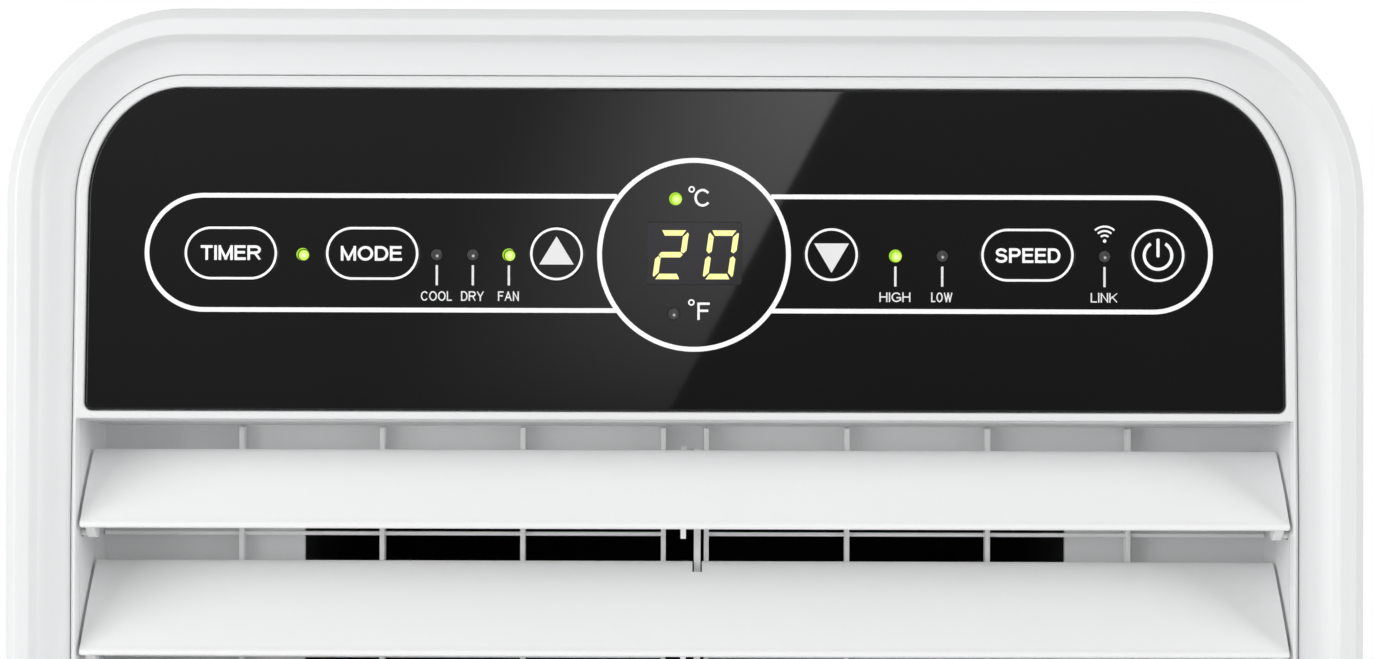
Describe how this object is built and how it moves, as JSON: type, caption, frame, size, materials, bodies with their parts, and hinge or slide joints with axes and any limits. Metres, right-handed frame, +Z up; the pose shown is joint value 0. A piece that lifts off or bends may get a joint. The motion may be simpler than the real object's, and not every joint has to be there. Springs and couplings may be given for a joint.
{
  "type": "portable air conditioner",
  "caption": "Upright portable air conditioner with a black touch panel, swinging outlet slats, rear intakes, hose outlet and casters.",
  "frame": {"origin": "on the floor, under the middle of the case's footprint", "axes": "+Z up; the front faces -Y; +X is on the right seen from the front"},
  "size_m": [0.35, 0.34, 0.7],
  "materials": {
    "case_white": "satin moulded ABS",
    "panel_black": "glossy black with white print",
    "lamp_clear": "clear light guide",
    "display_smoke": "smoked display window",
    "board_green": "solder mask",
    "vent_grey": "satin grey",
    "inner_black": "matt black",
    "fin_aluminium": "pressed fins",
    "steel_grey": "plated sheet",
    "enamel_black": "black enamel",
    "foam_white": "moulded inner plastic",
    "copper": "bare copper",
    "rubber_black": "moulded rubber",
    "filter_grey": "woven mesh in a frame",
    "caster_grey": "satin"
  },
  "bodies": {
    "cabinet": {"base_tray": "inner_black", "compressor": "enamel_black", "compressor_grommet_1": "rubber_black", "compressor_grommet_2": "rubber_black", "compressor_grommet_3": "rubber_black", "condenser": "fin_aluminium", "control_board": "board_green", "control_overlay": "panel_black", "cord_inlet": "rubber_black", "digit_display": "display_smoke", "discharge_pipe": "copper", "electrical_box": "steel_grey", "evaporator": "fin_aluminium", "exhaust_collar": "case_white", "front_bezel": "case_white", "front_frame": "case_white", "left_hand_grip": "case_white", "left_side_panel": "case_white", "light_guide": "lamp_clear", "lower_fan_motor": "steel_grey", "lower_front_panel": "case_white", "lower_scroll": "inner_black", "main_board": "board_green", "partition_tray": "foam_white", "rear_cover": "case_white", "right_hand_grip": "case_white", "right_side_panel": "case_white", "run_capacitor": "steel_grey", "suction_pipe": "copper", "top_cover": "case_white", "upper_fan_motor": "steel_grey", "upper_scroll": "inner_black", "vent_guard": "case_white", "vent_housing": "vent_grey"},
    "upper_slat": {"slat_upper": "case_white"},
    "middle_slat": {"slat_middle": "case_white"},
    "lower_slat": {"slat_lower": "case_white"},
    "slat_rod": {"slat_link": "case_white"},
    "timer_key": {"key_timer": "panel_black"},
    "mode_key": {"key_mode": "panel_black"},
    "up_key": {"key_up": "panel_black"},
    "down_key": {"key_down": "panel_black"},
    "speed_key": {"key_speed": "panel_black"},
    "power_key": {"key_power": "panel_black"},
    "upper_blower": {"upper_blower_wheel": "inner_black"},
    "lower_blower": {"lower_blower_wheel": "inner_black"},
    "upper_cassette": {"upper_intake_grille": "case_white", "upper_filter": "filter_grey"},
    "lower_cassette": {"lower_intake_grille": "case_white", "lower_filter": "filter_grey"},
    "upper_plug": {"upper_drain_plug": "rubber_black"},
    "lower_plug": {"lower_drain_plug": "rubber_black"},
    "front_left_fork": {"caster_fork_front_left": "caster_grey"},
    "front_right_fork": {"caster_fork_front_right": "caster_grey"},
    "rear_left_fork": {"caster_fork_rear_left": "caster_grey"},
    "rear_right_fork": {"caster_fork_rear_right": "caster_grey"},
    "front_left_wheel": {"caster_wheel_front_left": "rubber_black"},
    "front_right_wheel": {"caster_wheel_front_right": "rubber_black"},
    "rear_left_wheel": {"caster_wheel_rear_left": "rubber_black"},
    "rear_right_wheel": {"caster_wheel_rear_right": "rubber_black"}
  },
  "joints": [
    {"name": "upper_slat_tilt", "type": "hinge", "parent": "cabinet", "child": "upper_slat", "pos_m": [0, -0.15751, 0.5647], "axis": [1, 0, 0], "range_deg": [-25, 45]},
    {"name": "middle_slat_tilt", "type": "hinge", "parent": "cabinet", "child": "middle_slat", "pos_m": [0, -0.15751, 0.5317], "axis": [1, 0, 0], "range_deg": [-25, 45]},
    {"name": "lower_slat_tilt", "type": "hinge", "parent": "cabinet", "child": "lower_slat", "pos_m": [0, -0.15751, 0.4987], "axis": [1, 0, 0], "range_deg": [-25, 45]},
    {"name": "slat_rod_pin", "type": "hinge", "parent": "upper_slat", "child": "slat_rod", "pos_m": [0, -0.14181, 0.58485], "axis": [1, 0, 0], "range_deg": [-45, 25]},
    {"name": "timer_press", "type": "slide", "parent": "cabinet", "child": "timer_key", "axis": [0, 1, 0], "range_m": [0, 0.0006], "stiffness_N_per_m": 600},
    {"name": "mode_press", "type": "slide", "parent": "cabinet", "child": "mode_key", "axis": [0, 1, 0], "range_m": [0, 0.0006], "stiffness_N_per_m": 600},
    {"name": "up_press", "type": "slide", "parent": "cabinet", "child": "up_key", "axis": [0, 1, 0], "range_m": [0, 0.0006], "stiffness_N_per_m": 600},
    {"name": "down_press", "type": "slide", "parent": "cabinet", "child": "down_key", "axis": [0, 1, 0], "range_m": [0, 0.0006], "stiffness_N_per_m": 600},
    {"name": "speed_press", "type": "slide", "parent": "cabinet", "child": "speed_key", "axis": [0, 1, 0], "range_m": [0, 0.0006], "stiffness_N_per_m": 600},
    {"name": "power_press", "type": "slide", "parent": "cabinet", "child": "power_key", "axis": [0, 1, 0], "range_m": [0, 0.0006], "stiffness_N_per_m": 600},
    {"name": "upper_blower_spin", "type": "hinge", "parent": "cabinet", "child": "upper_blower", "pos_m": [0, -0.045, 0.492], "axis": [1, 0, 0], "continuous": true},
    {"name": "lower_blower_spin", "type": "hinge", "parent": "cabinet", "child": "lower_blower", "pos_m": [0, 0.02, 0.276], "axis": [1, 0, 0], "continuous": true},
    {"name": "upper_cassette_pull", "type": "slide", "parent": "cabinet", "child": "upper_cassette", "axis": [0, 1, 0], "range_m": [0, 0.06]},
    {"name": "lower_cassette_pull", "type": "slide", "parent": "cabinet", "child": "lower_cassette", "axis": [0, 1, 0], "range_m": [0, 0.06]},
    {"name": "upper_plug_pull", "type": "slide", "parent": "cabinet", "child": "upper_plug", "axis": [0, 1, 0], "range_m": [0, 0.02]},
    {"name": "lower_plug_pull", "type": "slide", "parent": "cabinet", "child": "lower_plug", "axis": [0, 1, 0], "range_m": [0, 0.02]},
    {"name": "front_left_swivel", "type": "hinge", "parent": "cabinet", "child": "front_left_fork", "pos_m": [-0.128, -0.104, 0.048], "axis": [0, 0, 1], "continuous": true},
    {"name": "front_left_roll", "type": "hinge", "parent": "front_left_fork", "child": "front_left_wheel", "pos_m": [-0.128, -0.092, 0.01679], "axis": [1, 0, 0], "continuous": true},
    {"name": "front_right_swivel", "type": "hinge", "parent": "cabinet", "child": "front_right_fork", "pos_m": [0.128, -0.104, 0.048], "axis": [0, 0, 1], "continuous": true},
    {"name": "front_right_roll", "type": "hinge", "parent": "front_right_fork", "child": "front_right_wheel", "pos_m": [0.128, -0.092, 0.01679], "axis": [1, 0, 0], "continuous": true},
    {"name": "rear_left_swivel", "type": "hinge", "parent": "cabinet", "child": "rear_left_fork", "pos_m": [-0.128, 0.104, 0.048], "axis": [0, 0, 1], "continuous": true},
    {"name": "rear_left_roll", "type": "hinge", "parent": "rear_left_fork", "child": "rear_left_wheel", "pos_m": [-0.128, 0.116, 0.01679], "axis": [1, 0, 0], "continuous": true},
    {"name": "rear_right_swivel", "type": "hinge", "parent": "cabinet", "child": "rear_right_fork", "pos_m": [0.128, 0.104, 0.048], "axis": [0, 0, 1], "continuous": true},
    {"name": "rear_right_roll", "type": "hinge", "parent": "rear_right_fork", "child": "rear_right_wheel", "pos_m": [0.128, 0.116, 0.01679], "axis": [1, 0, 0], "continuous": true}
  ],
  "couplings": [
    {"joint": "middle_slat_tilt", "follows": "upper_slat_tilt", "ratio": 1},
    {"joint": "lower_slat_tilt", "follows": "upper_slat_tilt", "ratio": 1},
    {"joint": "slat_rod_pin", "follows": "upper_slat_tilt", "ratio": -1}
  ]
}
